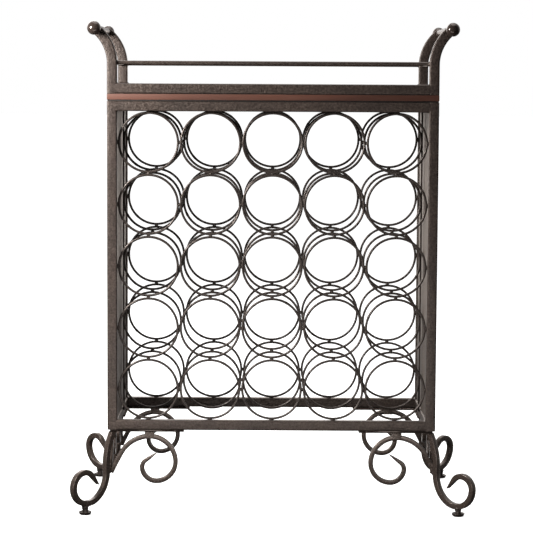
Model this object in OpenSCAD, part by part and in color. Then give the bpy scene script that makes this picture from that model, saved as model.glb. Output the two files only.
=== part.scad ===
// Wine rack: a welded square-tube frame with three grids of bottle rings,
// four scrolled legs on levelling feet, and a lift-off serving tray on top.
// Millimetres. X is across the front, Y goes back, Z is up, floor at Z = 0.

/* [Frame] */
// Side of the square steel tube
tube = 16; // [12:1:20]
// Wall of the square steel tube
tube_wall = 1.5; // [1:0.25:2.5]
// Radius of the tube's long edges
tube_edge_r = 2.5; // [2:0.25:3]
// Depth of the frame, front face to rear face
frame_depth = 256; // [220:2:300]
// Height of the underside of the frame above the floor
frame_bottom_z = 132; // [132:1:160]
// Thickness of the sheet closing each side
side_sheet_t = 1.2; // [0.8:0.2:2]

/* [Bottle rings] */
// Rings along each side of the square grid
grid = 5; // [3:1:6]
// Distance between ring centres
ring_pitch = 100; // [98:0.5:110]
// Diameter of the ring wire
ring_wire = 4; // [3:0.5:4.5]
// Gap between the outsides of two neighbouring rings
ring_gap = 1; // [0.6:0.1:1.4]
// Distance of the end ring grids from the frame's mid plane
ring_plane_y = 117; // [100:1:118]
// How much lower the middle grid sits
middle_drop = 1.5; // [0:0.5:2]
// Diameter of the spot welds that join the rings
weld_d = 3.2; // [2:0.1:3.4]

/* [Legs] */
// Square bar of the diagonal leg scrolls
leg_bar = 9.5; // [8:0.5:10]
// Square bar of the arch scrolls
arch_bar = 8; // [6:0.5:8]
// Thickness of the corner plates
plate_t = 3.5; // [3:0.5:5]
// Thickness of a scroll's flattened tip
tip_t = 1.6; // [1:0.2:3]

/* [Levelling feet] */
// Diameter of a foot's pad
pad_d = 21; // [18:1:28]
// Diameter of a foot's screw
stem_d = 6; // [5:1:6]
// How far a foot screws out
foot_travel = 6; // [4:1:6]

/* [Tray] */
// Thickness of the wooden board
board_t = 12.2; // [11:0.1:14]
// Height of the rebate along the board's lower edge
rebate_h = 2.2; // [1.6:0.1:3]
// Diameter of the gallery rods
rod_d = 6; // [5:0.5:8]
// Height of the gallery rods above the tray rim
rod_rise = 33.3; // [24:0.1:40]
// Diameter of the round grips
grip_d = 12.5; // [11:0.5:13]
// Diameter of the ball at each end of a grip
ball_d = 22; // [18:1:24]
// Radius of the handle posts' outward bend
bend_r = 71; // [60:0.5:80]
// Angle of the handle posts' outward bend
bend_angle = 51.9; // [48:0.1:56]

/* [Hidden] */
$fn = 48;
eps = 0.01;
far = 400;

// Frame
frame_w = grid * ring_pitch + 2 * tube;
frame_h = frame_w;
half_w = frame_w / 2;
half_d = frame_depth / 2;
inner_w = frame_w - 2 * tube;
inner_d = frame_depth - 2 * tube;
post_x = half_w - tube / 2;
post_y = half_d - tube / 2;
frame_top_z = frame_bottom_z + frame_h;
bottom_rail_z = frame_bottom_z + tube / 2;
top_rail_z = frame_top_z - tube / 2;
grid_z = (frame_bottom_z + frame_top_z) / 2;
tube_bore = tube - 2 * tube_wall;
tube_bore_r = tube_edge_r - 1;

// Bottle rings
ring_r = (ring_pitch - ring_gap - ring_wire) / 2;
weld_len = ring_gap + 2;
frame_weld_len = ring_gap / 2 + ring_wire / 2;

// Upright flat bars that carry the middle ring grid
upright_t = 3;
upright_depth = 8;
upright_lap = 4;

// Corner plates, in the corner's own frame (see at_corner)
plate_inset = 4;
plate_arm_w = 14;
plate_long_arm = 120;
plate_short_arm = 100;
plate_bottom_z = frame_bottom_z - plate_t;
plate_screw_d = 5;
plate_screw_head_d = 10;
plate_screw_len = 12;
plate_screw_end = 14;

// Legs: hand-bent, so each has its own bend radii from plate to tip and its own plane.
// The order is front left, front right, rear left, rear right.
leg_foot_x = 9;
leg_start = [-0.9, 131.9];
leg_heading = -60;
leg_bends = [
    [108.3, 48.2, 34, 27.1, 23.7, 22.2],
    [110.6, 48.9, 34.6, 30.8, 19.6, 21.3],
    [115.7, 43.6, 33.5, 35.6, 20.3, 17.6],
    [120, 41.1, 32, 36.5, 17.3, 19.8]
];
leg_planes = [46.3, 42.9, 42.2, 45.5];

// Arches: where each one starts beside its leg, then its first turn and its bend radii.
// The side arches rise the same way and end in a tighter scroll.
arch_starts = [[6.1, 62], [1, 64], [4.9, 63.5], [0.3, 64]];
arch_bends = [
    [5.66, 53.3, 42.6, 31.9, 23.4, 13.3],
    [5.13, 53.8, 42.4, 32.4, 22.9, 13.1],
    [5.77, 48.2, 40, 30.1, 21.7, 12.4],
    [6.02, 51.3, 42.5, 32.1, 23.1, 13.1]
];
side_bends = [24, 16, 11, 7.5];
arch_heading = 65.8;
arch_lug_xs = [68.5, 62.4, 63.4, 62.2];
arch_lug_w = 15;
arch_lug_z = 119;
tip_taper = 36;
arc_step = 9;

// Levelling feet
foot_out = 61;
foot_nut_d = 11;
foot_nut_bottom_z = 8.6;
foot_nut_top_z = 14;
foot_stem_top_z = 18.4;
foot_bore_top_z = 19.2;
pad_flat_d = 13.6;
pad_rim_z = 5.2;
pad_dish_z = 3.2;
pad_neck_d = 9.6;
pad_neck_z = 8.4;

// Tray
rebate_in = 0.8;
board_bottom_z = frame_top_z;
board_top_z = board_bottom_z + board_t;
rim_bottom_z = board_top_z;
rim_top_z = rim_bottom_z + tube;
rod_z = rim_top_z + rod_rise;
bend_start_z = rod_z - 1.7;
grip_x = post_x + bend_r * (1 - cos(bend_angle));
grip_z = bend_start_z + bend_r * sin(bend_angle);
bend_stop = bend_angle - 2.7;
grip_half_len = half_d + 1.5;
ball_y = half_d + 13.5;
ball_neck_d = 15;
stud_d = 7.8;
stud_bore_d = 8;
stud_len = 9;

// Caps closing the frame's post tops, whose pegs locate the tray
cap_plug = 12.6;
cap_plug_len = 10;
peg_d = 6;
peg_len = 4.5;
peg_hole_d = 6.8;
peg_hole_len = 5.5;

// Screws that hold the board to the tray rim
screw_d = 4;
screw_head_d = 8;
screw_head_t = 2.6;
screw_sink = 0.6;
screw_xs = [-170, 0, 170];

// Colours
bronze = [0.31, 0.27, 0.25];
bronze_light = [0.42, 0.38, 0.35];
bronze_dark = [0.22, 0.19, 0.18];
wood = [0.48, 0.32, 0.27];
black = [0.09, 0.09, 0.09];
steel = [0.55, 0.55, 0.56];

// ---- Shared shapes ----

// Square with rounded corners, centred
module rounded_square(side, r) {
    square([side, side - 2 * r], center = true);
    square([side - 2 * r, side], center = true);
    for (x = [-1, 1], y = [-1, 1])
        translate([x * (side / 2 - r), y * (side / 2 - r)]) circle(r = r);
}

// Cross-section of the square tube
module tube_section() {
    difference() {
        rounded_square(tube, tube_edge_r);
        rounded_square(tube_bore, tube_bore_r);
    }
}

// Upright tube standing on the current origin
module tube_up(len) {
    linear_extrude(height = len) tube_section();
}

// Tubes centred on the current origin, along X and along Y
module tube_x(len) {
    rotate([0, 90, 0]) translate([0, 0, -len / 2]) tube_up(len);
}

module tube_y(len) {
    rotate([90, 0, 0]) translate([0, 0, -len / 2]) tube_up(len);
}

// Rod centred on the current origin, along X and along Y
module rod_x(len, d) {
    rotate([0, 90, 0]) cylinder(h = len, d = d, center = true);
}

module rod_y(len, d) {
    rotate([90, 0, 0]) cylinder(h = len, d = d, center = true);
}

// Moves a part drawn at the front left corner to the corner (sx, sy).
// In the corner's frame X and Y start at the frame's outer faces and go inwards.
module at_corner(sx, sy) {
    mirror([sx > 0 ? 1 : 0, 0, 0]) mirror([0, sy > 0 ? 1 : 0, 0])
        translate([-half_w, -half_d, 0]) children();
}

// ---- Scroll outlines ----

// Stations [x, z, heading, length so far] along one arc, without its start
function arc_stations(s, radius, turn) =
    turn == 0
    ? [[s[0] + radius * cos(s[2]), s[1] + radius * sin(s[2]), s[2], s[3] + radius]]
    : let (n = ceil(abs(turn) / arc_step), side = sign(turn))
      [for (k = [1:n]) let (h = s[2] + turn * k / n)
          [s[0] + side * radius * (sin(h) - sin(s[2])),
           s[1] - side * radius * (cos(h) - cos(s[2])),
           h,
           s[3] + radius * abs(turn) * PI / 180 * k / n]];

// Stations along a whole chain of arcs
function chain_stations(s, arcs, i = 0) =
    i == len(arcs)
    ? [s]
    : let (part = arc_stations(s, arcs[i][0], arcs[i][1]))
      concat([s], [for (k = [0:len(part) - 2]) if (len(part) > 1) part[k]],
             chain_stations(part[len(part) - 1], arcs, i + 1));

// Bar half-width at a distance from its tip: full, then tapering
function half_width(bar, to_tip) =
    to_tip > tip_taper
    ? bar / 2
    : tip_t / 2 + (bar - tip_t) / 2 * sin(90 * to_tip / tip_taper);

// Outline of a bar of the given width along a chain of arcs
function scroll_outline(bar, start, heading, arcs) =
    let (st = chain_stations([start[0], start[1], heading, 0], arcs),
         total = st[len(st) - 1][3],
         hw = [for (s = st) half_width(bar, total - s[3])])
    concat(
        [for (i = [0:len(st) - 1]) [st[i][0] - hw[i] * sin(st[i][2]), st[i][1] + hw[i] * cos(st[i][2])]],
        [for (i = [len(st) - 1:-1:0]) [st[i][0] + hw[i] * sin(st[i][2]), st[i][1] - hw[i] * cos(st[i][2])]]
    );

// A scroll standing in the XZ plane, its thickness centred on Y = 0
module scroll(bar, start, heading, arcs) {
    rotate([90, 0, 0]) translate([0, 0, -bar / 2])
        linear_extrude(height = bar) polygon(scroll_outline(bar, start, heading, arcs));
}

// ---- Frame ----

module post(sx, sy) {
    color(bronze) translate([sx * post_x, sy * post_y, frame_bottom_z]) tube_up(frame_h);
}

// Holes in a bottom rail for the corner-plate screws
module rail_screw_holes() {
    for (sx = [-1, 1], sy = [-1, 1])
        at_corner(sx, sy) plate_screw_places() cylinder(h = 4 * tube_wall, d = plate_screw_d, center = true);
}

module long_rail(sy, z) {
    color(bronze) difference() {
        translate([0, sy * post_y, z]) tube_x(inner_w);
        if (z == bottom_rail_z) rail_screw_holes();
    }
}

module side_rail(sx, z) {
    color(bronze) difference() {
        translate([sx * post_x, 0, z]) tube_y(inner_d);
        if (z == bottom_rail_z) rail_screw_holes();
    }
}

module side_sheet(sx) {
    color(bronze_light)
        translate([sx * (inner_w / 2 + tube_edge_r + side_sheet_t / 2), 0, grid_z])
            cube([side_sheet_t, inner_d, inner_w], center = true);
}

module middle_uprights() {
    color(bronze_dark)
        for (sx = [-1, 1])
            translate([sx * (inner_w - upright_t) / 2, (ring_wire + upright_depth) / 2, grid_z])
                cube([upright_t, upright_depth, inner_w + 2 * upright_lap], center = true);
}

// ---- Bottle rings ----

// Centres of the rings in one grid, as distances from its middle
function ring_at(i) = (i - (grid - 1) / 2) * ring_pitch;

module ring_grid(y, drop) {
    color(bronze_dark)
        for (i = [0:grid - 1], j = [0:grid - 1])
            translate([ring_at(i), y, grid_z - drop + ring_at(j)])
                rotate([90, 0, 0]) rotate_extrude() translate([ring_r, 0]) circle(d = ring_wire, $fn = 24);
}

// Spot welds between neighbouring rings of one grid
module neighbour_welds(y, drop) {
    for (i = [0:grid - 2], j = [0:grid - 1]) {
        translate([ring_at(i + 0.5), y, grid_z - drop + ring_at(j)]) rod_x(weld_len, weld_d);
        translate([ring_at(j), y, grid_z - drop + ring_at(i + 0.5)])
            cylinder(h = weld_len, d = weld_d, center = true);
    }
}

// Spot welds from the outer rings of one end grid to the frame around it
module frame_welds(y) {
    for (i = [0:grid - 1], s = [-1, 1]) {
        translate([s * (inner_w - frame_weld_len) / 2, y, grid_z + ring_at(i)])
            rod_x(frame_weld_len, weld_d);
        translate([ring_at(i), y, grid_z + s * (inner_w - frame_weld_len) / 2])
            cylinder(h = frame_weld_len, d = weld_d, center = true);
    }
}

// Spot welds from the middle grid's outer rings to the uprights behind it
module upright_welds() {
    for (i = [0:grid - 1], s = [-1, 1])
        translate([s * (inner_w - upright_t) / 2, ring_wire / 4, grid_z - middle_drop + ring_at(i)])
            rod_y(ring_wire / 2, upright_t);
}

module ring_welds() {
    color(bronze_dark) {
        for (sy = [-1, 1]) {
            neighbour_welds(sy * ring_plane_y, 0);
            frame_welds(sy * ring_plane_y);
        }
        neighbour_welds(0, middle_drop);
        upright_welds();
    }
}

// ---- Post caps ----

module post_caps() {
    color(black)
        for (sx = [-1, 1], sy = [-1, 1])
            translate([sx * post_x, sy * post_y, frame_top_z]) {
                translate([0, 0, -cap_plug_len]) linear_extrude(height = cap_plug_len)
                    rounded_square(cap_plug, tube_bore_r);
                cylinder(h = peg_len, d = peg_d);
            }
}

// ---- Legs, drawn in the corner's frame ----

// Place of a corner in the lists of leg and arch shapes
function corner_index(sx, sy) = (sx > 0 ? 1 : 0) + (sy > 0 ? 2 : 0);

// Scrolls: [radius, turn] arcs along the centre line, turn 0 is straight
function leg_arcs(r) =
    [[4, 0], [r[0], -34], [r[1], 60], [r[2], 60], [r[3], 60], [r[4], 60], [r[5], 60], [18, 25], [20, 0]];

function arch_arcs(b) =
    [[373, -b[0]], [b[1], b[0] - 60.4], [b[2], -90], [b[3], -90], [b[4], -90], [b[5], -60], [22, 0]];

function side_arch_arcs(b, s) =
    [[373, -b[0]], [b[1], b[0] - 60.4], [s[0], -90], [s[1], -90], [s[2], -90], [s[3], -60], [12, 0]];

// Puts a part at each of the plate's two screws, on the plate's top face
module plate_screw_places() {
    translate([plate_long_arm + plate_inset - plate_screw_end, tube / 2, frame_bottom_z]) children();
    translate([tube / 2, plate_short_arm + plate_inset - plate_screw_end, frame_bottom_z]) children();
}

// Countersunk screw, its top of head at the plate's underside; slack widens it into its hole
module plate_screw(slack) {
    head_h = (plate_screw_head_d - plate_screw_d) / 2;
    translate([0, 0, -plate_t]) {
        cylinder(h = head_h, d1 = plate_screw_head_d + slack, d2 = plate_screw_d + slack);
        cylinder(h = plate_screw_len, d = plate_screw_d + slack);
    }
}

module corner_plate(sx, sy) {
    color(bronze_dark) at_corner(sx, sy) difference() {
        translate([plate_inset, plate_inset, plate_bottom_z]) linear_extrude(height = plate_t) {
            square([plate_long_arm, plate_arm_w]);
            square([plate_arm_w, plate_short_arm]);
        }
        plate_screw_places() plate_screw(0.2);
    }
}

module plate_screws() {
    color(steel)
        for (sx = [-1, 1], sy = [-1, 1])
            at_corner(sx, sy) plate_screw_places() plate_screw(-0.1);
}

// Turns a scroll drawn in XZ so that it runs outwards, near the corner's diagonal
module along_diagonal(sx, sy) {
    translate([leg_foot_x, leg_foot_x, 0]) rotate([0, 0, leg_planes[corner_index(sx, sy)] - 180])
        children();
}

module leg_scroll(sx, sy) {
    along_diagonal(sx, sy)
        scroll(leg_bar, leg_start, leg_heading, leg_arcs(leg_bends[corner_index(sx, sy)]));
}

module leg(sx, sy) {
    color(bronze) at_corner(sx, sy) difference() {
        leg_scroll(sx, sy);
        translate([-far / 2, -far / 2, plate_bottom_z]) cube([far, far, tube]);
        along_diagonal(sx, sy) translate([foot_out, 0, 0])
            cylinder(h = foot_bore_top_z, d = stem_d + 0.8);
    }
}

// Arch at corner c along X, mitred where the arch along Y meets it
module arch_shape(c, arcs) {
    difference() {
        union() {
            translate([0, arch_bar / 2, 0])
                scroll(arch_bar, arch_starts[c], arch_heading, arcs);
            translate([arch_lug_xs[c] - arch_lug_w / 2, 0, arch_lug_z])
                cube([arch_lug_w, arch_bar, plate_bottom_z - arch_lug_z]);
        }
        rotate([0, 0, 45]) translate([-far / 2, 0, 0]) cube([far, far, plate_bottom_z]);
    }
}

module arch(sx, sy) {
    c = corner_index(sx, sy);
    color(bronze) at_corner(sx, sy) difference() {
        arch_shape(c, arch_arcs(arch_bends[c]));
        leg_scroll(sx, sy);
    }
}

module side_arch(sx, sy) {
    c = corner_index(sx, sy);
    color(bronze) at_corner(sx, sy) difference() {
        mirror([1, -1, 0]) arch_shape(c, side_arch_arcs(arch_bends[c], side_bends));
        leg_scroll(sx, sy);
    }
}

module foot_nuts() {
    color(bronze_dark)
        for (sx = [-1, 1], sy = [-1, 1])
            at_corner(sx, sy) along_diagonal(sx, sy)
                translate([foot_out, 0, foot_nut_bottom_z]) difference() {
                    cylinder(h = foot_nut_top_z - foot_nut_bottom_z, d = foot_nut_d);
                    translate([0, 0, -eps]) cylinder(h = foot_nut_top_z, d = stem_d + 0.1);
                }
}

module foot(sx, sy) {
    color(bronze_dark) at_corner(sx, sy) along_diagonal(sx, sy) translate([foot_out, 0, 0])
        rotate_extrude() polygon([
            [0, 0], [pad_flat_d / 2, 0], [pad_d / 2 - 1.4, 1.2], [pad_d / 2, pad_rim_z - 0.8],
            [pad_d / 2, pad_rim_z], [pad_d / 2 - 1, pad_rim_z], [pad_d / 2 - 3, pad_dish_z],
            [pad_neck_d / 2, pad_dish_z], [pad_neck_d / 2, pad_neck_z], [stem_d / 2, pad_neck_z],
            [stem_d / 2, foot_stem_top_z], [0, foot_stem_top_z]
        ]);
}

// ---- Tray ----

// Puts a part at each of the board's screws, on the board's top face
module board_screw_places() {
    for (x = screw_xs, sy = [-1, 1]) translate([x, sy * post_y, board_top_z]) children();
    for (sx = [-1, 1]) translate([sx * post_x, 0, board_top_z]) children();
}

module rim_screw_holes() {
    board_screw_places() cylinder(h = 4 * tube_wall, d = screw_d + 0.1, center = true);
}

module tray_board() {
    color(wood) difference() {
        translate([0, 0, board_bottom_z]) {
            translate([rebate_in - half_w, rebate_in - half_d, 0])
                cube([frame_w - 2 * rebate_in, frame_depth - 2 * rebate_in, rebate_h]);
            translate([-half_w, -half_d, rebate_h])
                cube([frame_w, frame_depth, board_t - rebate_h]);
        }
        for (sx = [-1, 1], sy = [-1, 1])
            translate([sx * post_x, sy * post_y, board_bottom_z - eps])
                cylinder(h = peg_hole_len + eps, d = peg_hole_d);
        board_screw_places() translate([0, 0, -board_t - eps]) {
            cylinder(h = board_t + 2 * eps, d = screw_d + 0.4);
            cylinder(h = screw_sink + screw_head_t + eps, d = screw_head_d + 1);
        }
    }
}

module board_screws() {
    color(steel) board_screw_places()
        translate([0, 0, screw_sink + screw_head_t - board_t]) {
            cylinder(h = board_t, d = screw_d);
            translate([0, 0, -screw_head_t]) cylinder(h = screw_head_t, d = screw_head_d);
        }
}

module long_rim(sy) {
    color(bronze) difference() {
        translate([0, sy * post_y, rim_bottom_z + tube / 2]) tube_x(inner_w);
        rim_screw_holes();
    }
}

module side_rim(sx) {
    color(bronze) difference() {
        translate([sx * post_x, 0, rim_bottom_z + tube / 2]) tube_y(inner_d);
        rim_screw_holes();
    }
}

// Straight stretch and outward bend of one section, bending towards +X in the XZ plane
module bent_post(stop, straight_from) {
    translate([0, 0, straight_from]) linear_extrude(height = bend_start_z - straight_from) children();
    translate([bend_r, 0, bend_start_z]) mirror([1, 0, 0]) rotate([90, 0, 0])
        rotate_extrude(angle = stop, $fn = 96) translate([bend_r, 0]) children();
}

module handle_post(sx, sy) {
    color(bronze) difference() {
        translate([sx * post_x, sy * post_y, 0]) mirror([sx < 0 ? 1 : 0, 0, 0]) difference() {
            bent_post(bend_stop, rim_bottom_z) rounded_square(tube, tube_edge_r);
            bent_post(bend_stop - 3, rim_bottom_z - eps) rounded_square(tube_bore, tube_bore_r);
        }
        translate([sx * grip_x, sy * post_y, grip_z]) rod_y(2 * tube, grip_d);
    }
}

module grip(sx) {
    color(bronze_light) translate([sx * grip_x, 0, grip_z]) {
        rod_y(2 * grip_half_len, grip_d);
        rod_y(2 * (grip_half_len + stud_len), stud_d);
    }
}

module grip_balls() {
    color(bronze_dark)
        for (sx = [-1, 1], sy = [-1, 1])
            translate([sx * grip_x, sy * ball_y, grip_z]) rotate([sy * 90, 0, 0]) difference() {
                union() {
                    sphere(d = ball_d);
                    cylinder(h = ball_y - grip_half_len, d = ball_neck_d);
                }
                translate([0, 0, ball_y - grip_half_len - stud_len - 1])
                    cylinder(h = stud_len + 2, d = stud_bore_d);
            }
}

module long_gallery_rod(sy) {
    color(bronze_dark) translate([0, sy * post_y, rod_z]) rod_x(inner_w, rod_d);
}

module side_gallery_rod(sx) {
    color(bronze_dark) translate([sx * post_x, 0, rod_z]) rod_y(inner_d, rod_d);
}

post(-1, -1);  // front_left_post
post(1, -1);  // front_right_post
post(-1, 1);  // rear_left_post
post(1, 1);  // rear_right_post
long_rail(-1, bottom_rail_z);  // front_bottom_rail
long_rail(-1, top_rail_z);  // front_top_rail
long_rail(1, bottom_rail_z);  // rear_bottom_rail
long_rail(1, top_rail_z);  // rear_top_rail
side_rail(-1, bottom_rail_z);  // left_bottom_rail
side_rail(-1, top_rail_z);  // left_top_rail
side_rail(1, bottom_rail_z);  // right_bottom_rail
side_rail(1, top_rail_z);  // right_top_rail
side_sheet(-1);  // left_side_sheet
side_sheet(1);  // right_side_sheet
middle_uprights();
ring_grid(-ring_plane_y, 0);  // front_rings
ring_grid(0, middle_drop);  // middle_rings
ring_grid(ring_plane_y, 0);  // rear_rings
ring_welds();
post_caps();
corner_plate(-1, -1);  // front_left_corner_plate
corner_plate(1, -1);  // front_right_corner_plate
corner_plate(-1, 1);  // rear_left_corner_plate
corner_plate(1, 1);  // rear_right_corner_plate
plate_screws();
leg(-1, -1);  // front_left_leg
leg(1, -1);  // front_right_leg
leg(-1, 1);  // rear_left_leg
leg(1, 1);  // rear_right_leg
arch(-1, -1);  // front_left_arch
arch(1, -1);  // front_right_arch
arch(-1, 1);  // rear_left_arch
arch(1, 1);  // rear_right_arch
side_arch(-1, -1);  // left_front_side_arch
side_arch(1, -1);  // right_front_side_arch
side_arch(-1, 1);  // left_rear_side_arch
side_arch(1, 1);  // right_rear_side_arch
foot_nuts();
foot(-1, -1);  // front_left_foot
foot(1, -1);  // front_right_foot
foot(-1, 1);  // rear_left_foot
foot(1, 1);  // rear_right_foot
tray_board();
long_rim(-1);  // tray_front_rim
long_rim(1);  // tray_rear_rim
side_rim(-1);  // tray_left_rim
side_rim(1);  // tray_right_rim
board_screws();
handle_post(-1, -1);  // front_left_handle_post
handle_post(1, -1);  // front_right_handle_post
handle_post(-1, 1);  // rear_left_handle_post
handle_post(1, 1);  // rear_right_handle_post
grip(-1);  // left_grip
grip(1);  // right_grip
grip_balls();
long_gallery_rod(-1);  // front_gallery_rod
long_gallery_rod(1);  // rear_gallery_rod
side_gallery_rod(-1);  // left_gallery_rod
side_gallery_rod(1);  // right_gallery_rod
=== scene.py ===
"""Looks for the wine rack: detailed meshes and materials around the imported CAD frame.

Lengths in the helpers are millimetres in the row frame (X right, Y back, Z up,
floor at Z = 0) and are turned into metres when a mesh is made.
"""

import math
import random

import bpy
from mathutils import Matrix, Vector, noise


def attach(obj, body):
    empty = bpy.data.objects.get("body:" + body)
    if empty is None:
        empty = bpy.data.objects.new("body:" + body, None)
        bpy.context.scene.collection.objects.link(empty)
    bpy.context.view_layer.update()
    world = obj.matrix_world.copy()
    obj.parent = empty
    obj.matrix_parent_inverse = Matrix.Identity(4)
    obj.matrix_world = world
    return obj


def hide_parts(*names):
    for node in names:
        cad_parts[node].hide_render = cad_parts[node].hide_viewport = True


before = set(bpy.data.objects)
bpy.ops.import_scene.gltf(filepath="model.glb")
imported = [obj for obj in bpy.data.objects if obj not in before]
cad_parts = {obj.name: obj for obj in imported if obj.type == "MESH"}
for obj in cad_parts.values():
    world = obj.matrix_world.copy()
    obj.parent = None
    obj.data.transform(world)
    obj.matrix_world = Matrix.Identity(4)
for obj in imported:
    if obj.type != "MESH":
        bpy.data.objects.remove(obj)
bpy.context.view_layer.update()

MM = 0.001
CORNERS = {
    "front_left": (-1, -1),
    "front_right": (1, -1),
    "rear_left": (-1, 1),
    "rear_right": (1, 1),
}

# ---- Sizes: those that the CAD source has too are the same there ----
TUBE = 16.0
TUBE_R = 2.5
TUBE_WALL = 1.5
PITCH = 100.0
INNER_W = 5 * PITCH
HALF_W = INNER_W / 2 + TUBE
HALF_D = 128.0
INNER_D = 2 * HALF_D - 2 * TUBE
SEAM_W = INNER_W + 2 * TUBE_R  # rails reach over the posts' rounded edges: the welds are ground flush
SEAM_D = INNER_D + 2 * TUBE_R
POST_X = HALF_W - TUBE / 2
POST_Y = HALF_D - TUBE / 2
FRAME_Z0 = 132.0
FRAME_Z1 = FRAME_Z0 + INNER_W + 2 * TUBE
GRID_Z = (FRAME_Z0 + FRAME_Z1) / 2
RING_R = 47.5
WIRE_R = 2.0
RING_Y = 117.0
DROP = 1.5
PLATE_T = 3.5
PLATE_Z = FRAME_Z0 - PLATE_T
LEG_BAR = 9.5
ARCH_BAR = 8.0
TIP_T = 1.6
TIP_TAPER = 36.0
FOOT_OUT = 61.0
LEG_X = 9.0
LEG_START = (-0.9, 131.9)
LEG_HEADING = -60
PLATE_SCREWS = ((110, 8), (8, 90))
LUG_W = 15.0
LUG_Z = 119.2  # a lug's lower end
NUT_R = 5.45  # corner radius of a foot's nut
NUT_BORE_R = 3.1
BOARD_T = 12.2
BOARD_Z0 = FRAME_Z1
BOARD_Z1 = BOARD_Z0 + BOARD_T
REBATE_IN = 0.8
REBATE_H = 2.2
TOP_EDGE_H = 0.7  # height of the strip of painted seam shade along the board's upper edge
RIM_Z0 = BOARD_Z1
RIM_Z1 = RIM_Z0 + TUBE
ROD_RISE = 33.3
ROD_Z = RIM_Z1 + ROD_RISE
ROD_R = 3.0
BEND_Z = ROD_Z - 1.7
BEND_R = 71.0
BEND_DEG = 51.9
GRIP_X = POST_X + BEND_R * (1 - math.cos(math.radians(BEND_DEG)))
GRIP_Z = BEND_Z + BEND_R * math.sin(math.radians(BEND_DEG))
GRIP_R = 6.25
BALL_R = 11.0
BALL_Y = HALF_D + 13.5
X_AXIS = (1, 0, 0)
Y_AXIS = (0, 1, 0)
Z_AXIS = (0, 0, 1)

# The lists below repeat the CAD source's. Most of their numbers were matched to the photo by a
# separate fitting script, so they are fitted numbers and not driving dimensions.

# bend radii from plate to tip, and the angle of each leg's plane from the front
LEG_BENDS = {
    "front_left": (108.3, 48.2, 34.0, 27.1, 23.7, 22.2),
    "front_right": (110.6, 48.9, 34.6, 30.8, 19.6, 21.3),
    "rear_left": (115.7, 43.6, 33.5, 35.6, 20.3, 17.6),
    "rear_right": (120.0, 41.1, 32.0, 36.5, 17.3, 19.8),
}
LEG_PLANES = {"front_left": 46.3, "front_right": 42.9, "rear_left": 42.2, "rear_right": 45.5}
# start point, first turn and bend radii of each corner's arches, and the place of their lugs
ARCH_STARTS = {
    "front_left": (6.1, 62.0),
    "front_right": (1.0, 64.0),
    "rear_left": (4.9, 63.5),
    "rear_right": (0.3, 64.0),
}
ARCH_BENDS = {
    "front_left": (5.66, 53.3, 42.6, 31.9, 23.4, 13.3),
    "front_right": (5.13, 53.8, 42.4, 32.4, 22.9, 13.1),
    "rear_left": (5.77, 48.2, 40.0, 30.1, 21.7, 12.4),
    "rear_right": (6.02, 51.3, 42.5, 32.1, 23.1, 13.1),
}
SIDE_BENDS = (24.0, 16.0, 11.0, 7.5)  # the side arches end in a tighter scroll
ARCH_HEADING = 65.8
LUG_X = {"front_left": 68.5, "front_right": 62.4, "rear_left": 63.4, "rear_right": 62.2}


def leg_arcs(r):
    scrolls = [(radius, 60) for radius in r[1:]]
    return [(4, 0), (r[0], -34)] + scrolls + [(18, 25), (20, 0)]


def arch_rise(b):
    """From the leg up to the arch's crown."""
    return [(373, -b[0]), (b[1], b[0] - 60.4)]


def arch_arcs(b):
    return arch_rise(b) + [(b[2], -90), (b[3], -90), (b[4], -90), (b[5], -60), (22, 0)]


def side_arch_arcs(b, s):
    return arch_rise(b) + [(s[0], -90), (s[1], -90), (s[2], -90), (s[3], -60), (12, 0)]


# ---- Mesh building ----
class Shape:
    """Vertices and faces of one piece, in millimetres."""

    def __init__(self):
        self.verts = []
        self.faces = []

    def skin(self, loops, closed=False, cap_start=True, cap_end=True):
        """Joins loops of equal length with quads, in order."""
        n = len(loops[0])
        base = len(self.verts)
        for loop in loops:
            self.verts.extend(Vector(v) for v in loop)
        pairs = len(loops) if closed else len(loops) - 1
        for i in range(pairs):
            a = base + i * n
            b = base + ((i + 1) % len(loops)) * n
            for k in range(n):
                m = (k + 1) % n
                self.faces.append((a + k, a + m, b + m, b + k))
        if not closed:
            if cap_start:
                self.faces.append(tuple(base + k for k in reversed(range(n))))
            if cap_end:
                last = base + (len(loops) - 1) * n
                self.faces.append(tuple(last + k for k in range(n)))

    def add(self, verts, faces):
        base = len(self.verts)
        self.verts.extend(Vector(v) for v in verts)
        self.faces.extend(tuple(base + i for i in f) for f in faces)

    def join(self, other, matrix=None):
        matrix = matrix or Matrix.Identity(4)
        flip = matrix.determinant() < 0
        base = len(self.verts)
        self.verts.extend(matrix @ v for v in other.verts)
        for f in other.faces:
            f = tuple(base + i for i in f)
            self.faces.append(tuple(reversed(f)) if flip else f)


def make(name, shape, body, nodes, material, sharp=35):
    """Turns a shape into a piece that stands for the given CAD nodes."""
    mesh = bpy.data.meshes.new(name)
    mesh.from_pydata([v * MM for v in shape.verts], [], shape.faces)
    mesh.validate()
    mesh.polygons.foreach_set("use_smooth", [True] * len(mesh.polygons))
    mesh.set_sharp_from_angle(angle=math.radians(sharp))
    mesh.materials.append(material)
    piece = bpy.data.objects.new(name, mesh)
    bpy.context.scene.collection.objects.link(piece)
    bpy.context.view_layer.update()
    if body:
        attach(piece, body)
    if nodes:
        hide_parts(*nodes)
    return piece


def rounded_rect(w, h, r, n=5):
    """Outline of a rounded rectangle, counter-clockwise, starting on the right side."""
    points = []
    for k, (sx, sy) in enumerate([(1, 1), (-1, 1), (-1, -1), (1, -1)]):
        cx, cy = sx * (w / 2 - r), sy * (h / 2 - r)
        for i in range(n + 1):
            a = math.radians(90 * k + 90 * i / n)
            points.append((cx + r * math.cos(a), cy + r * math.sin(a)))
    return points


def circle(r, n):
    return [(r * math.cos(2 * math.pi * k / n), r * math.sin(2 * math.pi * k / n)) for k in range(n)]


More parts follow.
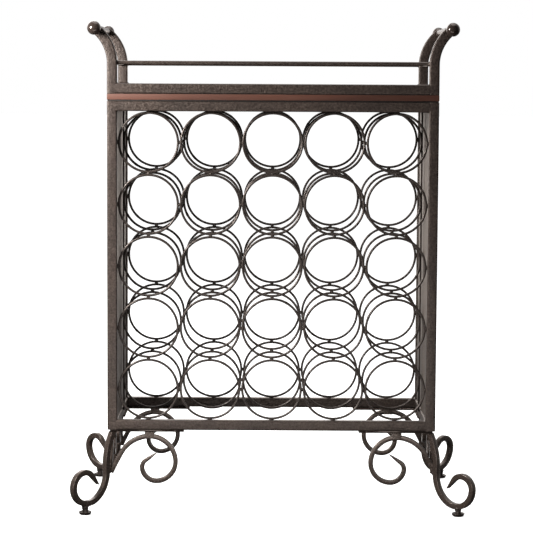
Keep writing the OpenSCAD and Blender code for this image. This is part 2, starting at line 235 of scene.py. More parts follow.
def hexagon(across, n):
    """Outline of a hexagon given its corner radius, with n points."""
    points = []
    for k in range(n):
        a = 2 * math.pi * k / n
        r = across * math.cos(math.pi / 6) / math.cos((a % (math.pi / 3)) - math.pi / 6)
        points.append((r * math.cos(a), r * math.sin(a)))
    return points


def place(points, origin, right=X_AXIS, up=Y_AXIS):
    """A 2D outline put into space, lying flat unless told otherwise."""
    o, a, b = Vector(origin), Vector(right), Vector(up)
    return [o + a * x + b * y for x, y in points]


def square_tube(shape, start, end, side=TUBE, r=TUBE_R, wall=TUBE_WALL, step=24.0):
    """Hollow square tube with slightly eased cut ends, with rings of vertices along its length."""
    a, b = Vector(start), Vector(end)
    length = (b - a).length
    along = (b - a).normalized()
    right = Vector(Z_AXIS).cross(along)
    right = Vector(X_AXIS) if right.length < 0.5 else right.normalized()
    up = along.cross(right)
    ease = 0.35
    outer = rounded_rect(side, side, r)
    eased = rounded_rect(side - 2 * ease, side - 2 * ease, r - ease)
    inner = rounded_rect(side - 2 * wall, side - 2 * wall, r - 1)
    parts = max(2, round(length / step))
    stops = [ease] + [length * k / parts for k in range(1, parts)] + [length - ease]
    loops = [place(eased, a, right, up)]
    loops += [place(outer, a + along * s, right, up) for s in stops]
    loops += [place(eased, b, right, up), place(inner, b - along * 0.2, right, up)]
    loops += [place(inner, a + along * 0.2, right, up)]
    shape.skin(loops, closed=True)


def lathe(shape, profile, origin, axis=Z_AXIS, n=48):
    """Turned shape: profile is (radius, height) pairs along the axis."""
    axis = Vector(axis).normalized()
    right = axis.orthogonal().normalized()
    up = axis.cross(right)
    loops = []
    for r, h in profile:
        loops.append(place(circle(max(r, 0.01), n), Vector(origin) + axis * h, right, up))
    shape.skin(loops)


def blob(shape, centre, x_axis, size, seed, n=10, m=8, rough=0.12):
    """Small uneven weld bead: an ellipsoid with half-sizes along x_axis, Y-ish and across."""
    ex = Vector(x_axis).normalized()
    ey = ex.orthogonal().normalized() if abs(ex.y) > 0.9 else Vector(Y_AXIS)
    ez = ex.cross(ey)
    c = Vector(centre)
    loops = []
    for i in range(1, m):
        t = math.pi * i / m
        ring = []
        for k in range(n):
            p = 2 * math.pi * k / n
            d = Vector((math.cos(t), math.sin(t) * math.cos(p), math.sin(t) * math.sin(p)))
            s = 1 + rough * noise.noise(d * 1.7 + Vector((seed * 3.1, seed * 1.7, 0)))
            ring.append(c + (ex * d.x * size[0] + ey * d.y * size[1] + ez * d.z * size[2]) * s)
        loops.append(ring)
    shape.skin(loops)


def chain(start, heading, arcs, step):
    """Stations (x, z, heading, length) along a chain of arcs."""
    x, z, h, run = start[0], start[1], heading, 0.0
    out = [(x, z, h, run)]
    for radius, turn in arcs:
        if turn == 0:
            n = max(1, round(radius / step))
            for _ in range(n):
                x += radius / n * math.cos(math.radians(h))
                z += radius / n * math.sin(math.radians(h))
                run += radius / n
                out.append((x, z, h, run))
            continue
        side = 1 if turn > 0 else -1
        length = radius * math.radians(abs(turn))
        n = max(2, round(length / step))
        x0, z0, h0 = x, z, h
        for k in range(1, n + 1):
            h = h0 + turn * k / n
            x = x0 + side * radius * (math.sin(math.radians(h)) - math.sin(math.radians(h0)))
            z = z0 - side * radius * (math.cos(math.radians(h)) - math.cos(math.radians(h0)))
            out.append((x, z, h, run + length * k / n))
        run += length
    return out


def scroll(shape, bar, start, heading, arcs, put, seed, flush_z=None, step=2.0):
    """Forged square bar along a chain of arcs; put(x, across, z) maps it into space."""
    stations = chain(start, heading, arcs, step)
    total = stations[-1][3]
    half = bar / 2
    loops = []
    for x, z, h, run in stations:
        to_tip = total - run
        thick = half
        if to_tip < TIP_TAPER:
            thick = TIP_T / 2 + (half - TIP_T / 2) * math.sin(math.pi / 2 * to_tip / TIP_TAPER)
        c, s = math.cos(math.radians(h)), math.sin(math.radians(h))
        dent = 0.10 * noise.noise(Vector((run * 0.09, seed * 5.3, 0)))
        dent2 = 0.10 * noise.noise(Vector((run * 0.11, seed * 2.9, 4.0)))
        w = thick - 0.12 + dent
        b = half - 0.12 + dent2
        r = min(1.3, w * 0.6)
        loop = []
        for px, py in rounded_rect(2 * w, 2 * b, r, 4):
            loop.append((x - px * s, py, z + px * c))
        loops.append((loop, c, s))
    rings = [loop for loop, c, s in loops if flush_z is None or max(p[2] for p in loop) <= flush_z]
    if flush_z is not None:
        loop, c, s = loops[len(loops) - len(rings)]
        top = [(x + c * (flush_z - z) / s, y, flush_z) for x, y, z in loop]
        rings.insert(0, top)
    # rounded end at the tip
    x, z, h, _ = stations[-1]
    c, s = math.cos(math.radians(h)), math.sin(math.radians(h))
    for grow, keep in ((0.35, 0.8), (0.5, 0.45)):
        ring = []
        for px, py in rounded_rect(TIP_T - 0.24, bar - 0.3, 0.3, 4):
            ring.append((x + grow * c - px * keep * s, py * (0.9 + 0.1 * keep), z + grow * s + px * keep * c))
        rings.append(ring)
    shape.skin([[put(*p) for p in loop] for loop in rings])


def corner_matrix(sx, sy):
    """Corner frame (origin at the outer corner, X and Y inwards) to the row frame."""
    return Matrix.Translation((sx * HALF_W, sy * HALF_D, 0)) @ Matrix.Diagonal((-sx, -sy, 1, 1))


# ---- Materials ----
def new_material(name):
    m = bpy.data.materials.new(name)
    m.use_nodes = True
    nt = m.node_tree
    nt.nodes.clear()
    out = nt.nodes.new("ShaderNodeOutputMaterial")
    bsdf = nt.nodes.new("ShaderNodeBsdfPrincipled")
    nt.links.new(bsdf.outputs[0], out.inputs[0])
    coord = nt.nodes.new("ShaderNodeTexCoord")
    return m, nt, bsdf, coord.outputs["Object"]


def tex_noise(nt, vector, scale, detail=3.0, rough=0.5, distort=0.0):
    t = nt.nodes.new("ShaderNodeTexNoise")
    t.inputs["Scale"].default_value = scale
    t.inputs["Detail"].default_value = detail
    t.inputs["Roughness"].default_value = rough
    t.inputs["Distortion"].default_value = distort
    nt.links.new(vector, t.inputs["Vector"])
    return t.outputs[0]


def ramp(nt, value, stops):
    r = nt.nodes.new("ShaderNodeValToRGB")
    e = r.color_ramp.elements
    while len(e) < len(stops):
        e.new(0.5)
    for el, (pos, col) in zip(e, stops):
        el.position = pos
        el.color = (*col, 1) if len(col) == 3 else col
    nt.links.new(value, r.inputs[0])
    return r.outputs[0]


def map_range(nt, value, lo, hi, to_lo, to_hi):
    r = nt.nodes.new("ShaderNodeMapRange")
    for k, v in zip(("From Min", "From Max", "To Min", "To Max"), (lo, hi, to_lo, to_hi)):
        r.inputs[k].default_value = v
    nt.links.new(value, r.inputs["Value"])
    return r.outputs[0]


def bump(nt, height, strength, distance, normal=None):
    b = nt.nodes.new("ShaderNodeBump")
    b.inputs["Strength"].default_value = strength
    b.inputs["Distance"].default_value = distance
    nt.links.new(height, b.inputs["Height"])
    if normal is not None:
        nt.links.new(normal, b.inputs["Normal"])
    return b.outputs[0]


def bronze(name, dark, light, rough=(0.3, 0.42), metallic=0.3, peel=0.4):
    """Bronze-brown powder coat: a fine mottle, broad clouds and a fine hammered skin."""
    m, nt, bsdf, co = new_material(name)
    mottle = tex_noise(nt, co, 330, 4, 0.65)
    cloud = tex_noise(nt, co, 17, 3, 0.5)
    between = tuple((a + b) / 2 for a, b in zip(dark, light))
    base = ramp(nt, mottle, [(0.36, dark), (0.52, between), (0.68, light)])
    shade = ramp(nt, cloud, [(0.35, (0.86, 0.86, 0.87)), (0.65, (1.12, 1.1, 1.08))])
    mix = nt.nodes.new("ShaderNodeMix")
    mix.data_type = "RGBA"
    mix.blend_type = "MULTIPLY"
    mix.inputs["Factor"].default_value = 1.0
    nt.links.new(base, mix.inputs[6])
    nt.links.new(shade, mix.inputs[7])
    nt.links.new(mix.outputs[2], bsdf.inputs["Base Color"])
    nt.links.new(map_range(nt, mottle, 0.3, 0.7, rough[0], rough[1]), bsdf.inputs["Roughness"])
    bsdf.inputs["Metallic"].default_value = metallic
    bsdf.inputs["Specular Tint"].default_value = (1.0, 0.9, 0.84, 1)
    skin = tex_noise(nt, co, 240, 3, 0.6)
    fine = tex_noise(nt, co, 1500, 2, 0.5)
    n1 = bump(nt, skin, peel, 0.0011)
    n2 = bump(nt, fine, peel * 0.5, 0.0002, n1)
    nt.links.new(n2, bsdf.inputs["Normal"])
    return m


def maths(nt, operation, *values):
    m = nt.nodes.new("ShaderNodeMath")
    m.operation = operation
    for socket, value in zip(m.inputs, values):
        if isinstance(value, (int, float)):
            socket.default_value = value
        else:
            nt.links.new(value, socket)
    return m.outputs[0]


def painted_seam_shade(nt, coords):
    """Mask of painted seam shade: 1 along the board's outer edges where they meet rail and rim, 0 elsewhere.
    """
    xyz = nt.nodes.new("ShaderNodeSeparateXYZ")
    nt.links.new(coords, xyz.inputs[0])
    out_x = maths(nt, "SUBTRACT", maths(nt, "ABSOLUTE", xyz.outputs["X"]), HALF_W * MM)
    out_y = maths(nt, "SUBTRACT", maths(nt, "ABSOLUTE", xyz.outputs["Y"]), HALF_D * MM)
    edge = map_range(nt, maths(nt, "MAXIMUM", out_x, out_y), -0.0014, -0.0012, 0.0, 1.0)
    middle = (BOARD_Z0 + REBATE_H + BOARD_Z1 - TOP_EDGE_H) / 2 * MM
    band = (BOARD_Z1 - TOP_EDGE_H - BOARD_Z0 - REBATE_H) / 2 * MM
    off = maths(nt, "ABSOLUTE", maths(nt, "SUBTRACT", xyz.outputs["Z"], middle))
    return maths(nt, "MULTIPLY", edge, map_range(nt, off, band - 0.00015, band + 0.00015, 0.0, 1.0))


def wood(name):
    """Reddish-brown stained board, grain along X, satin varnish, with near-black painted shade along the
    seams at rail and rim.
    """
    m, nt, bsdf, co = new_material(name)
    mapping = nt.nodes.new("ShaderNodeMapping")
    mapping.inputs["Scale"].default_value = (0.09, 1.0, 1.0)
    nt.links.new(co, mapping.inputs["Vector"])
    v = mapping.outputs[0]
    warp = tex_noise(nt, v, 14, 3, 0.5)
    add = nt.nodes.new("ShaderNodeVectorMath")
    add.operation = "MULTIPLY_ADD"
    nt.links.new(warp, add.inputs[0])
    add.inputs[1].default_value = (0.02, 0.02, 0.02)
    nt.links.new(v, add.inputs[2])
    rings = nt.nodes.new("ShaderNodeTexWave")
    rings.wave_type = "BANDS"
    rings.bands_direction = "Y"
    rings.inputs["Scale"].default_value = 9
    rings.inputs["Distortion"].default_value = 9
    rings.inputs["Detail"].default_value = 3
    rings.inputs["Detail Scale"].default_value = 1.6
    nt.links.new(add.outputs[0], rings.inputs["Vector"])
    streak = tex_noise(nt, v, 260, 3, 0.6)
    grain = maths(nt, "MULTIPLY_ADD", streak, 0.55, rings.outputs[1])
    colour = ramp(nt, map_range(nt, grain, 0.1, 1.35, 0.22, 0.85), [
        (0.0, (0.038, 0.0128, 0.0077)),
        (0.35, (0.056, 0.0200, 0.0125)),
        (0.65, (0.077, 0.0285, 0.0180)),
        (1.0, (0.100, 0.040, 0.0260)),
    ])
    seam_shade_mix = nt.nodes.new("ShaderNodeMix")
    seam_shade_mix.data_type = "RGBA"
    nt.links.new(painted_seam_shade(nt, co), seam_shade_mix.inputs["Factor"])
    nt.links.new(colour, seam_shade_mix.inputs[6])
    # near-black painted shade: stands in for the shadow in the gaps between the board, the rail below and the
    # rim above
    seam_shade_mix.inputs[7].default_value = (0.006, 0.004, 0.003, 1)
    nt.links.new(seam_shade_mix.outputs[2], bsdf.inputs["Base Color"])
    pores = tex_noise(nt, v, 900, 2, 0.5)
    nt.links.new(map_range(nt, streak, 0.3, 0.7, 0.5, 0.64), bsdf.inputs["Roughness"])
    bsdf.inputs["Specular IOR Level"].default_value = 0.3
    bsdf.inputs["Coat Weight"].default_value = 0.05
    bsdf.inputs["Coat Roughness"].default_value = 0.25
    n1 = bump(nt, grain, 0.12, 0.0003)
    n2 = bump(nt, pores, 0.3, 0.0002, n1)
    nt.links.new(n2, bsdf.inputs["Normal"])
    return m


def plastic(name, colour):
    m, nt, bsdf, co = new_material(name)
    fine = tex_noise(nt, co, 900, 2, 0.5)
    darker = tuple(c * 0.8 for c in colour)
    lighter = tuple(c * 1.25 for c in colour)
    base = ramp(nt, fine, [(0.3, darker), (0.7, lighter)])
    nt.links.new(base, bsdf.inputs["Base Color"])
    nt.links.new(map_range(nt, fine, 0.3, 0.7, 0.45, 0.6), bsdf.inputs["Roughness"])
    nt.links.new(bump(nt, fine, 0.3, 0.0002), bsdf.inputs["Normal"])
    return m


def steel(name):
    m, nt, bsdf, co = new_material(name)
    fine = tex_noise(nt, co, 700, 3, 0.6)
    spots = tex_noise(nt, co, 160, 3, 0.6)
    base = ramp(nt, spots, [(0.35, (0.42, 0.42, 0.43)), (0.65, (0.58, 0.58, 0.57))])
    nt.links.new(base, bsdf.inputs["Base Color"])
    bsdf.inputs["Metallic"].default_value = 1.0
    nt.links.new(map_range(nt, fine, 0.3, 0.7, 0.25, 0.42), bsdf.inputs["Roughness"])
    nt.links.new(bump(nt, fine, 0.2, 0.0001), bsdf.inputs["Normal"])
    return m


TUBE_PAINT = bronze(
    "bronze_tube", (0.021, 0.0145, 0.0120), (0.062, 0.0465, 0.0395), rough=(0.36, 0.56), peel=0.8)
RING_PAINT = bronze("bronze_ring", (0.022, 0.017, 0.015), (0.042, 0.033, 0.029), peel=0.3)
# lighter, warmer copy of the bronze paint: the extra lightness over the tube paint is a painted reflection of
# the bright background that the sheets' inner faces catch at a grazing angle
SHEET_PAINT_PAINTED_SHEEN = bronze(
    "bronze_sheet_painted_sheen", (0.050, 0.038, 0.031), (0.096, 0.075, 0.062), rough=(0.46, 0.6), peel=0.4)
SCROLL_PAINT = bronze(
    "bronze_scroll", (0.046, 0.035, 0.029), (0.066, 0.050, 0.043), rough=(0.2, 0.3), peel=0.1)
ROD_PAINT = bronze("bronze_rod", (0.028, 0.021, 0.018), (0.052, 0.040, 0.034), peel=0.3)
BALL_PAINT = bronze(
    "bronze_ball", (0.030, 0.022, 0.019), (0.044, 0.033, 0.028), rough=(0.12, 0.2), peel=0.06)
FOOT_PAINT = bronze(
    "bronze_foot", (0.022, 0.017, 0.015), (0.042, 0.033, 0.029), rough=(0.3, 0.42), peel=0.25)
WOOD = wood("stained_wood_seam_shade")
CAP_PLASTIC = plastic("cap_plastic", (0.03, 0.03, 0.03))
SCREW_STEEL = steel("screw_steel")


# ---- Frame tubes, sheets and uprights ----
def fillet(shape, corner, along, side_a, side_b, length, seed, size=2.2):
    """Concave weld fillet in the corner between two faces, running along a direction."""
    c, a = Vector(corner), Vector(along)
    sa, sb = Vector(side_a), Vector(side_b)
    loops = []
    n = max(4, round(length / 1.6))
    for i in range(n + 1):
        t = -length / 2 + length * i / n
        g = size * (1 + 0.10 * math.sin(i * 2.1 + seed) + 0.08 * noise.noise(Vector((i * 0.7, seed, 0))))
        g *= 0.55 if i in (0, n) else 1.0
        hollow = [(g, 0.02), (g * 0.55, g * 0.22), (g * 0.22, g * 0.55), (0.02, g)]
        pts = [(-0.6, -0.6), (g, -0.6)] + hollow + [(-0.6, g)]
        loops.append([c + a * t + sa * x + sb * y for x, y in pts])
    if sa.cross(sb).dot(a) < 0:
        loops.reverse()
    shape.skin(loops)


for corner, (sx, sy) in CORNERS.items():
    s = Shape()
    square_tube(s, (sx * POST_X, sy * POST_Y, FRAME_Z0), (sx * POST_X, sy * POST_Y, FRAME_Z1))
    make(f"{corner}_post_tube", s, "rack", [f"{corner}_post"], TUBE_PAINT)

for side, sy in (("front", -1), ("rear", 1)):
    for level, z, inward in (("bottom", FRAME_Z0 + TUBE / 2, 1), ("top", FRAME_Z1 - TUBE / 2, -1)):
        s = Shape()
        square_tube(s, (-SEAM_W / 2, sy * POST_Y, z), (SEAM_W / 2, sy * POST_Y, z))
        for sx in (-1, 1):
            fillet(s, (sx * INNER_W / 2, sy * POST_Y, z + inward * TUBE / 2), Y_AXIS,
                   (-sx, 0, 0), (0, 0, inward), 11, sx + sy * 2 + z)
        make(f"{side}_{level}_rail_tube", s, "rack", [f"{side}_{level}_rail"], TUBE_PAINT)

for side, sx in (("left", -1), ("right", 1)):
    for level, z in (("bottom", FRAME_Z0 + TUBE / 2), ("top", FRAME_Z1 - TUBE / 2)):
        s = Shape()
        square_tube(s, (sx * POST_X, -SEAM_D / 2, z), (sx * POST_X, SEAM_D / 2, z))
        make(f"{side}_{level}_rail_tube", s, "rack", [f"{side}_{level}_rail"], TUBE_PAINT)

STITCH = (6.5, 1.3, 1.0)  # half-sizes of a stitch weld along a sheet's edge
for side, sx in (("left", -1), ("right", 1)):
    s = Shape()
    x = sx * (INNER_W / 2 + TUBE_R + 0.6)
    outline = rounded_rect(INNER_D, INNER_W, 0.8, 3)
    inset = rounded_rect(INNER_D - 0.6, INNER_W - 0.6, 0.6, 3)
    loops = []
    for px, pts in ((-0.6, inset), (-0.35, outline), (0.35, outline), (0.6, inset)):
        loops.append([Vector((x + px, u, GRID_Z + v)) for u, v in pts])
    s.skin(loops)
    # stitch welds along the sheet's edges, inside and outside
    for face in (-1, 1):
        for k in range(7):
            z = GRID_Z - 225 + 75 * k
            for sy in (-1, 1):
                blob(s, (x + face * 0.9, sy * (INNER_D / 2 - 0.3), z), Z_AXIS, STITCH, k + sy + sx, 10, 10)
        for k in range(3):
            for up in (-1, 1):
                blob(s, (x + face * 0.9, -75 + 75 * k, GRID_Z + up * (INNER_W / 2 - 0.3)), Y_AXIS,
                     STITCH, k * 3 + up, 10, 10)
    make(f"{side}_sheet_panel", s, "rack", [f"{side}_side_sheet"], SHEET_PAINT_PAINTED_SHEEN)

s = Shape()
for sx in (-1, 1):
    x0 = sx * (INNER_W / 2 - 1.5)
    loops = []
    for z, shrink in ((144, 0.3), (144.3, 0), (270, 0), (398, 0), (526, 0), (651.7, 0), (652, 0.3)):
        loops.append(place(rounded_rect(3 - shrink, 8 - shrink, 0.5, 3), (x0, 6, z)))
    s.skin(loops)
    for z in (146.2, 649.8):
        for sy in (2.2, 9.8):
            blob(s, (x0 + sx * 1.0, sy, z), Z_AXIS, (2.6, 1.2, 1.4), z + sx + sy)
make("middle_upright_bars", s, "rack", ["middle_uprights"], RING_PAINT)

# ---- Bottle rings ----
RING_PARTS, WIRE_SIDES = 112, 14
rng = random.Random(11)
layers = {"front": (-RING_Y, 0.0), "middle": (0.0, DROP), "rear": (RING_Y, 0.0)}
for layer, (y0, drop) in layers.items():
    s = Shape()
    for i in range(5):
        for j in range(5):
            cx, cz = (i - 2) * PITCH, GRID_Z - drop + (j - 2) * PITCH
            seam = rng.choice([0.25, 0.75]) * math.pi + rng.uniform(-0.4, 0.4) + math.pi * rng.choice([0, 1])
            seed = rng.uniform(0, 50)
            loops = []
            for k in range(RING_PARTS):
                a = 2 * math.pi * k / RING_PARTS
                away = (a - seam + math.pi) % (2 * math.pi) - math.pi
                lump = 0.28 * math.exp(-(away * RING_R / 2.2) ** 2)
                wob = 0.16 * noise.noise(Vector((math.cos(a) * 1.3, math.sin(a) * 1.3, seed)))
                r = WIRE_R - 0.03 + lump
                outwards = Vector((math.cos(a), 0, math.sin(a)))
                c = Vector((cx, y0 + wob, cz)) + outwards * (RING_R + 0.4 * wob)
                loops.append(place(circle(r, WIRE_SIDES), c, outwards, Y_AXIS))
            s.skin(loops, closed=True)
    make(f"{layer}_ring_grid", s, "rack", [f"{layer}_rings"], RING_PAINT, sharp=60)

s = Shape()
count = 0
for layer, (y0, drop) in layers.items():
    zc = GRID_Z - drop
    for i in range(4):
        for j in range(5):
            a, b = (i - 1.5) * PITCH, (j - 2) * PITCH
            count += 1
            blob(s, (a, y0, zc + b), X_AXIS, (2.7, 1.75, 3.0), count)
            blob(s, (b, y0, zc + a), Z_AXIS, (2.7, 1.75, 3.0), count + 0.5)
    if layer == "middle":
        for j in range(5):
            for sx in (-1, 1):
                count += 1
                at = (sx * (INNER_W / 2 - 1.6), 1.2, zc + (j - 2) * PITCH)
                blob(s, at, Z_AXIS, (3.4, 1.5, 1.6), count)
        continue
    for j in range(5):
        b = (j - 2) * PITCH
        for k in (-1, 1):
            count += 1
            blob(s, (k * (INNER_W / 2 - 0.9), y0, zc + b), Z_AXIS, (4.2, 2.3, 1.5), count)
            blob(s, (b, y0, zc + k * (INNER_W / 2 - 0.9)), X_AXIS, (4.2, 2.3, 1.5), count + 0.5)
make("ring_weld_beads", s, "rack", ["ring_welds"], RING_PAINT, sharp=70)

# ---- Post caps ----
s = Shape()
for sx, sy in CORNERS.values():
    c = Vector((sx * POST_X, sy * POST_Y, 0))
    plug = rounded_rect(12.6, 12.6, 1.5)
    s.skin([place(rounded_rect(11.6, 11.6, 1.0), c + Vector((0, 0, 654))),
            place(plug, c + Vector((0, 0, 655))),
            place(plug, c + Vector((0, 0, FRAME_Z1 - 0.4))),
            place(rounded_rect(12.0, 12.0, 1.2), c + Vector((0, 0, FRAME_Z1 - 0.05)))])
    peg = [(3, -1), (3, 3.4), (2.7, 4.1), (1.9, 4.45)]
    lathe(s, [(r, FRAME_Z1 + h) for r, h in peg], c, n=32)
make("post_cap_plugs", s, "rack", ["post_caps"], CAP_PLASTIC)


# ---- Legs ----
def leg_frame(corner):
    """Maps a leg's own coordinates (outwards, across, up) to the corner frame."""
    a = math.radians(LEG_PLANES[corner])
    c, s = math.cos(a), math.sin(a)
    return lambda x, across, z: Vector((LEG_X - c * x + s * across, LEG_X - s * x - c * across, z))


def lug(shape, put, x0, seed):
    """Short block welded between an arch's crown and the corner plate."""
    loops = []
    for z, grow in ((LUG_Z, 0.0), (121, 0.05), (124, 0.1), (127, 0.3), (PLATE_Z, 0.6)):
        loops.append([put(x0 + x, ARCH_BAR / 2 + y, z) for x, y in rounded_rect(LUG_W + grow, 7.9, 0.9, 3)])
    shape.skin(loops)
    for dx in (-7, 7):
        across = put(0, 1, 0) - put(0, 0, 0)
        blob(shape, put(x0 + dx, ARCH_BAR / 2, 127.3), across, (3.6, 1.4, 1.1), seed + dx)


for index, (corner, (sx, sy)) in enumerate(CORNERS.items()):
    at = corner_matrix(sx, sy)
    diagonal = leg_frame(corner)
    s = Shape()
    scroll(s, LEG_BAR, LEG_START, LEG_HEADING, leg_arcs(LEG_BENDS[corner]), diagonal, index + 1, PLATE_Z)
    # welds at the plate, and the beads where the arches meet the leg
    outwards = diagonal(1, 0, 0) - diagonal(0, 0, 0)
    for t in (-1, 1):
        blob(s, diagonal(0.6, t * 4.9, PLATE_Z - 1.0), outwards, (5.0, 1.6, 1.3), index + t)
    for k, z in enumerate((64.5, 69.5, 75.0)):
        for t in (-1, 1):
            blob(s, diagonal(10.2 - 0.2 * k, t * (3.4 - 0.2 * k), z), Z_AXIS, (3.6, 2.4, 2.4),
                 index * 7 + k + t, 16, 12, 0.3)
    whole = Shape()
    whole.join(s, at)
    make(f"{corner}_leg_scroll", whole, "rack", [f"{corner}_leg"], SCROLL_PAINT, sharp=50)

    for kind in ("long", "side"):
        s = Shape()
        if kind == "long":
            def put(x, across, z):
                return Vector((x, across, z))
            name, node = f"{corner}_arch_scroll", f"{corner}_arch"
            arcs = arch_arcs(ARCH_BENDS[corner])
        else:
            def put(x, across, z):
                return Vector((across, x, z))
            names = corner.split("_")
            node = f"{names[1]}_{names[0]}_side_arch"
            name = node + "_scroll"
            arcs = side_arch_arcs(ARCH_BENDS[corner], SIDE_BENDS)
        scroll(s, ARCH_BAR, ARCH_STARTS[corner], ARCH_HEADING, arcs,
               lambda x, a, z: put(x, a + 4, z), index + (9 if kind == "side" else 5))
        lug(s, put, LUG_X[corner], index * 3)
        whole = Shape()
        whole.join(s, at)
        make(name, whole, "rack", [node], SCROLL_PAINT, sharp=50)


def plate_object(name, sx, sy):
    """L-shaped plate with eased edges and two round holes, from a filled curve."""
    curve = bpy.data.curves.new(name + "_outline", "CURVE")
    curve.dimensions = "2D"
    curve.fill_mode = "BOTH"
    ease = 0.3
    curve.extrude = (PLATE_T / 2 - ease) * MM
    curve.bevel_depth = ease * MM
    curve.bevel_resolution = 2
    curve.offset = -ease * MM
    at = corner_matrix(sx, sy)
    outline = [(4, 4), (124, 4), (124, 18), (20, 18), (18, 20), (18, 104), (4, 104)]
    loops = [outline]
    for cx, cy in PLATE_SCREWS:
        loops.append([(cx + x, cy + y) for x, y in circle(5.0, 32)])
    for loop in loops:
        sp = curve.splines.new("POLY")
        sp.points.add(len(loop) - 1)
        for p, (x, y) in zip(sp.points, loop):
            v = at @ Vector((x, y, 0))
            p.co = (v.x * MM, v.y * MM, 0, 1)
        sp.use_cyclic_u = True
    tmp = bpy.data.objects.new(name + "_tmp", curve)
    bpy.context.scene.collection.objects.link(tmp)
    bpy.context.view_layer.update()
    mesh = bpy.data.meshes.new_from_object(tmp.evaluated_get(bpy.context.evaluated_depsgraph_get()))
    bpy.data.objects.remove(tmp)
    mesh.transform(Matrix.Translation((0, 0, (FRAME_Z0 - PLATE_T / 2) * MM)))
    mesh.name = name
    mesh.materials.clear()
    mesh.materials.append(SCROLL_PAINT)
    piece = bpy.data.objects.new(name, mesh)
    bpy.context.scene.collection.objects.link(piece)
    bpy.context.view_layer.update()
    return piece


for corner, (sx, sy) in CORNERS.items():
    piece = plate_object(f"{corner}_corner_plate_steel", sx, sy)
    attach(piece, "rack")
    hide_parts(f"{corner}_corner_plate")


def socket_screw(shape, origin, down, head_r, profile, hex_r=1.7, depth=1.4, n=36):
    """Turned screw with a hexagonal socket in its head. profile starts at the head's rim."""
    axis = Vector(down).normalized()
    right = axis.orthogonal().normalized()
    up = axis.cross(right)
    o = Vector(origin)
    socket = hexagon(hex_r, n)
    inner = [(x * 0.94, y * 0.94) for x, y in socket]
    loops = [place(inner, o + axis * depth, right, up), place(socket, o + axis * 0.15, right, up)]
    loops.append(place([(x * 1.08, y * 1.08) for x, y in socket], o, right, up))
    for r, h in [(head_r - 0.25, 0.0), (head_r, 0.25)] + profile:
        loops.append(place(circle(r, n), o + axis * h, right, up))
    shape.skin(loops)


s = Shape()
for sx, sy in CORNERS.values():
    at = corner_matrix(sx, sy)
    for cx, cy in PLATE_SCREWS:
        c = at @ Vector((cx, cy, PLATE_Z))
        socket_screw(s, c, Z_AXIS, 4.75, [(2.45, 2.6), (2.45, 11.4), (2.0, 12.0)])
make("plate_screw_set", s, "rack", ["plate_screws"], SCREW_STEEL)


# ---- Levelling feet ----
def foot_centre(corner):
    return corner_matrix(*CORNERS[corner]) @ leg_frame(corner)(FOOT_OUT, 0, 0)


s = Shape()
for corner, (sx, sy) in CORNERS.items():
    c = foot_centre(corner)
    n = 48
    loops = []
    for chamfered, z in ((True, 8.6), (False, 9.2), (False, 13.4), (True, 14.0)):
        ring = []
        for x, y in hexagon(NUT_R, n):
            keep = 0.99 * min(1.0, 0.92 * NUT_R / math.hypot(x, y)) if chamfered else 1.0
            ring.append(c + Vector((keep * x, keep * y, z)))
        loops.append(ring)
    bore_top = place(circle(NUT_BORE_R, n), c + Vector((0, 0, 14.0)))
    bore_bottom = place(circle(NUT_BORE_R, n), c + Vector((0, 0, 9.0)))
    mouth = place(circle(NUT_BORE_R + 0.5, n), c + Vector((0, 0, 8.6)))
    s.skin(loops + [bore_top, bore_bottom, mouth], closed=True)
    for k in range(5):
        a = 2 * math.pi * k / 5 + 0.4
        blob(s, c + Vector((4.3 * math.cos(a), 4.3 * math.sin(a), 13.0)), (-math.sin(a), math.cos(a), 0),
             (3.2, 1.9, 1.9), k + sx + sy)
make("foot_hex_nuts", s, "rack", ["foot_nuts"], FOOT_PAINT)

PAD_PROFILE = [
    (0.0, 0.0), (6.6, 0.0), (7.6, 0.15), (8.5, 0.6), (9.1, 1.2), (9.7, 2.2), (10.2, 3.4),
    (10.45, 4.4), (10.45, 4.9), (10.25, 5.15), (9.9, 5.15), (9.5, 4.9), (9.0, 4.2), (8.3, 3.6),
    (7.4, 3.3), (5.4, 3.3), (4.95, 3.5), (4.8, 3.9), (4.75, 5.5), (4.75, 7.8), (4.55, 8.25),
    (4.1, 8.4), (3.2, 8.4),
]
for corner, (sx, sy) in CORNERS.items():
    s = Shape()
    c = foot_centre(corner)
    n = 40
    loops = [place(circle(max(r, 0.01), n), c + Vector((0, 0, z))) for r, z in PAD_PROFILE]
    z = 8.45
    pitch, deep = 1.0, 0.42
    while z < 18.2:
        fade = min(1.0, (18.3 - z) / 1.2)
        ring = []
        for k in range(n):
            phase = (z / pitch - k / n) % 1.0
            r = 3.0 - deep * abs(2 * phase - 1) * (0.4 + 0.6 * fade) - 0.5 * (1 - fade)
            ring.append(c + Vector((r * math.cos(2 * math.pi * k / n), r * math.sin(2 * math.pi * k / n), z)))
        loops.append(ring)
        z += pitch / 8
    s.skin(loops)
    make(f"{corner}_foot_pad", s, f"{corner}_levelling_foot", [f"{corner}_foot"], FOOT_PAINT,
         sharp=45)


# ---- Tray board ----
def boolean_cut(piece, cutter):
    """Cuts one mesh out of another and bakes the result in."""
    mod = piece.modifiers.new("cut", "BOOLEAN")
    mod.operation = "DIFFERENCE"
    mod.solver = "EXACT"
    mod.object = cutter
    bpy.context.view_layer.update()
    mesh = bpy.data.meshes.new_from_object(piece.evaluated_get(bpy.context.evaluated_depsgraph_get()))
    piece.modifiers.clear()
    old = piece.data
    piece.data = mesh
    bpy.data.meshes.remove(old)
    bpy.data.objects.remove(cutter)


def board_screw_places():
    long_sides = [(x, sy * POST_Y) for x in (-170, 0, 170) for sy in (-1, 1)]
    return long_sides + [(sx * POST_X, 0) for sx in (-1, 1)]


